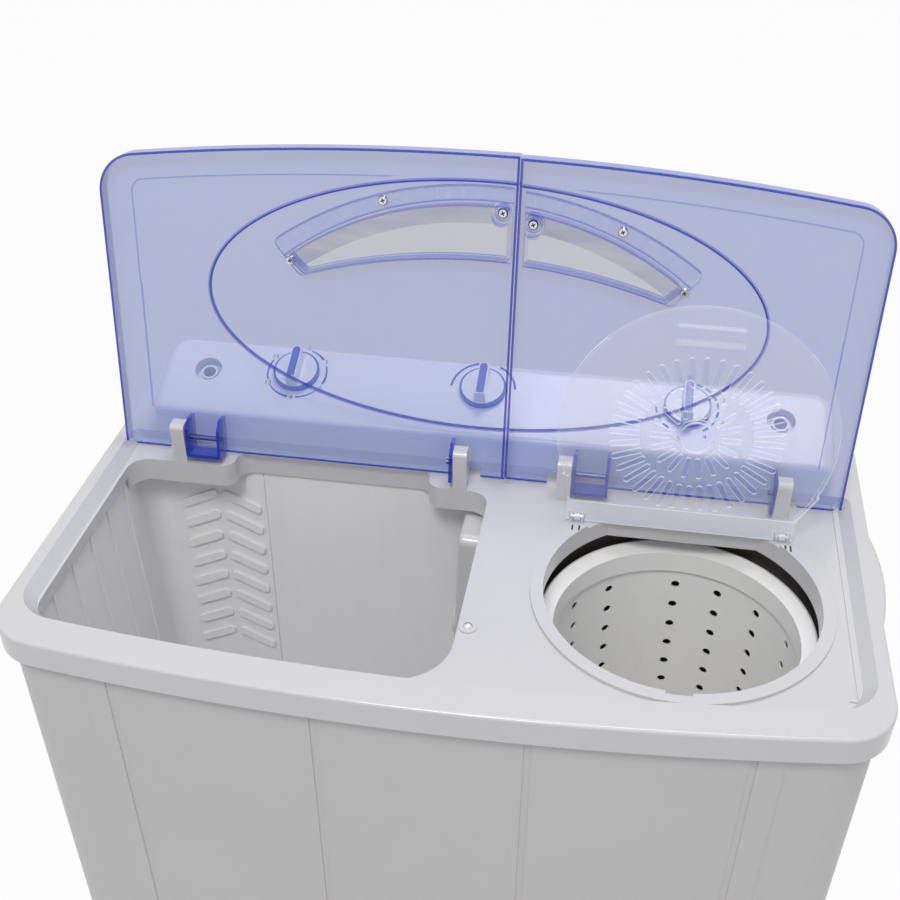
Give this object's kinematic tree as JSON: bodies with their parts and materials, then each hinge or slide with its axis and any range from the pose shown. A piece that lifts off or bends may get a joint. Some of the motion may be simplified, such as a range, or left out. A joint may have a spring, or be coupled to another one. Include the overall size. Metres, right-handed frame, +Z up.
{
  "type": "semi-automatic washing machine",
  "caption": "Twin tub washing machine with see-through folding lids, a clear inner spin lid, dial controls, a pulsator wash tub and a drilled spin basket",
  "frame": {"origin": "middle of the footprint on the floor", "axes": "+X to the spin side (the viewer's right), +Y to the back, +Z up; the front faces -Y"},
  "size_m": [0.7639, 0.44, 1.1167],
  "materials": {
    "white_plastic": "glossy moulded white",
    "grey_white_plastic": "satin moulded grey white",
    "grey_plastic": "moulded polypropylene grey",
    "basket_plastic": "moulded pale grey",
    "black_plastic": "moulded black",
    "blue_plastic": "glossy deep blue",
    "tinted_lid": "see-through lilac blue plastic",
    "clear_lid": "clear plastic",
    "black_rubber": "black rubber",
    "grey_hose": "flexible grey vinyl",
    "steel": "polished steel",
    "galvanised_steel": "zinc plated sheet",
    "motor_steel": "dark painted motor housing",
    "cast_aluminium": "cast aluminium"
  },
  "bodies": {
    "cabinet": {"top_deck": "white_plastic", "console_panel": "white_plastic", "cabinet_shell": "grey_white_plastic", "base_tray": "grey_white_plastic", "feet": "black_rubber", "rear_cover": "galvanised_steel", "rear_cover_screws": "steel", "deck_screw": "steel", "lid_hinge_pins": "steel", "inner_lid_pins": "steel", "lid_switch": "black_plastic", "wash_tub": "grey_plastic", "filter_cover": "white_plastic", "lint_filter": "grey_plastic", "spin_outer_tub": "grey_plastic", "spin_seal": "black_rubber", "pulsator_bearing": "cast_aluminium", "wash_motor": "motor_steel", "wash_motor_bracket": "galvanised_steel", "drive_belt": "black_rubber", "motor_capacitor": "black_plastic", "spin_motor": "motor_steel", "spin_motor_bracket": "galvanised_steel", "spin_motor_mounts": "black_rubber", "drain_valve_body": "grey_plastic", "drain_hose": "grey_hose", "drain_outlet": "grey_plastic", "spin_drain_pipe": "grey_hose", "wash_inlet_nozzle": "white_plastic", "spin_inlet_nozzle": "white_plastic", "wash_timer_body": "black_plastic", "selector_switch": "black_plastic", "spin_timer_body": "black_plastic"},
    "left_lid": {"wash_lid": "tinted_lid", "wash_lid_handle": "tinted_lid", "wash_lid_screws": "steel"},
    "right_lid": {"spin_lid": "tinted_lid", "spin_lid_handle": "tinted_lid", "spin_lid_screws": "steel"},
    "spin_cover": {"inner_lid": "clear_lid"},
    "wash_timer_dial": {"wash_timer_knob": "white_plastic", "wash_timer_trim": "blue_plastic"},
    "selector_dial": {"wash_selector_knob": "white_plastic", "wash_selector_trim": "blue_plastic"},
    "spin_timer_dial": {"spin_timer_knob": "white_plastic", "spin_timer_trim": "blue_plastic"},
    "agitator": {"pulsator": "grey_plastic", "pulsator_cap": "blue_plastic", "pulsator_shaft": "steel", "pulsator_pulley": "cast_aluminium"},
    "wash_rotor": {"motor_shaft": "steel", "motor_pulley": "cast_aluminium"},
    "spinner": {"spin_basket": "basket_plastic", "balance_ring": "basket_plastic", "spin_shaft": "steel", "brake_drum": "cast_aluminium"},
    "plug": {"drain_plug": "black_rubber"},
    "brake": {"brake_lever": "galvanised_steel"}
  },
  "joints": [
    {"name": "wash_lid_hinge", "type": "hinge", "parent": "cabinet", "child": "left_lid", "pos_m": [-0.157, 0.096, 0.826], "axis": [1, 0, 0], "range_deg": [0, 102.7]},
    {"name": "spin_lid_hinge", "type": "hinge", "parent": "cabinet", "child": "right_lid", "pos_m": [0.19, 0.096, 0.826], "axis": [1, 0, 0], "range_deg": [0, 101.4]},
    {"name": "inner_lid_hinge", "type": "hinge", "parent": "cabinet", "child": "spin_cover", "pos_m": [0.204, 0.057, 0.805], "axis": [1, 0, 0], "range_deg": [0, 95]},
    {"name": "wash_timer_turn", "type": "hinge", "parent": "cabinet", "child": "wash_timer_dial", "pos_m": [-0.198, 0.17647, 0.86177], "axis": [0, 0.3907, -0.9205], "range_deg": [0, 330]},
    {"name": "selector_turn", "type": "hinge", "parent": "cabinet", "child": "selector_dial", "pos_m": [-0.0055, 0.17647, 0.86177], "axis": [0, 0.3907, -0.9205], "range_deg": [-90, 90]},
    {"name": "spin_timer_turn", "type": "hinge", "parent": "cabinet", "child": "spin_timer_dial", "pos_m": [0.199, 0.17647, 0.86177], "axis": [0, 0.3907, -0.9205], "range_deg": [0, 300]},
    {"name": "pulsator_spin", "type": "hinge", "parent": "cabinet", "child": "agitator", "pos_m": [-0.167, -0.03325, 0.4], "axis": [0, 0, 1], "continuous": true},
    {"name": "wash_rotor_spin", "type": "hinge", "parent": "cabinet", "child": "wash_rotor", "pos_m": [-0.295, -0.03325, 0.3], "axis": [0, 0, 1], "continuous": true},
    {"name": "basket_spin", "type": "hinge", "parent": "cabinet", "child": "spinner", "pos_m": [0.204, -0.038, 0.5], "axis": [0, 0, 1], "continuous": true},
    {"name": "drain_plug_lift", "type": "slide", "parent": "cabinet", "child": "plug", "axis": [0, 0, 1], "range_m": [0, 0.008], "stiffness_N_per_m": 120},
    {"name": "brake_release", "type": "hinge", "parent": "cabinet", "child": "brake", "pos_m": [0.134, -0.096, 0.343], "axis": [0, 0, 1], "range_deg": [0, 8]}
  ],
  "couplings": [
    {"joint": "inner_lid_hinge", "follows": "spin_lid_hinge", "ratio": 0.9368},
    {"joint": "wash_rotor_spin", "follows": "pulsator_spin", "ratio": 3.1368},
    {"joint": "brake_release", "follows": "spin_lid_hinge", "ratio": 0.0788}
  ]
}
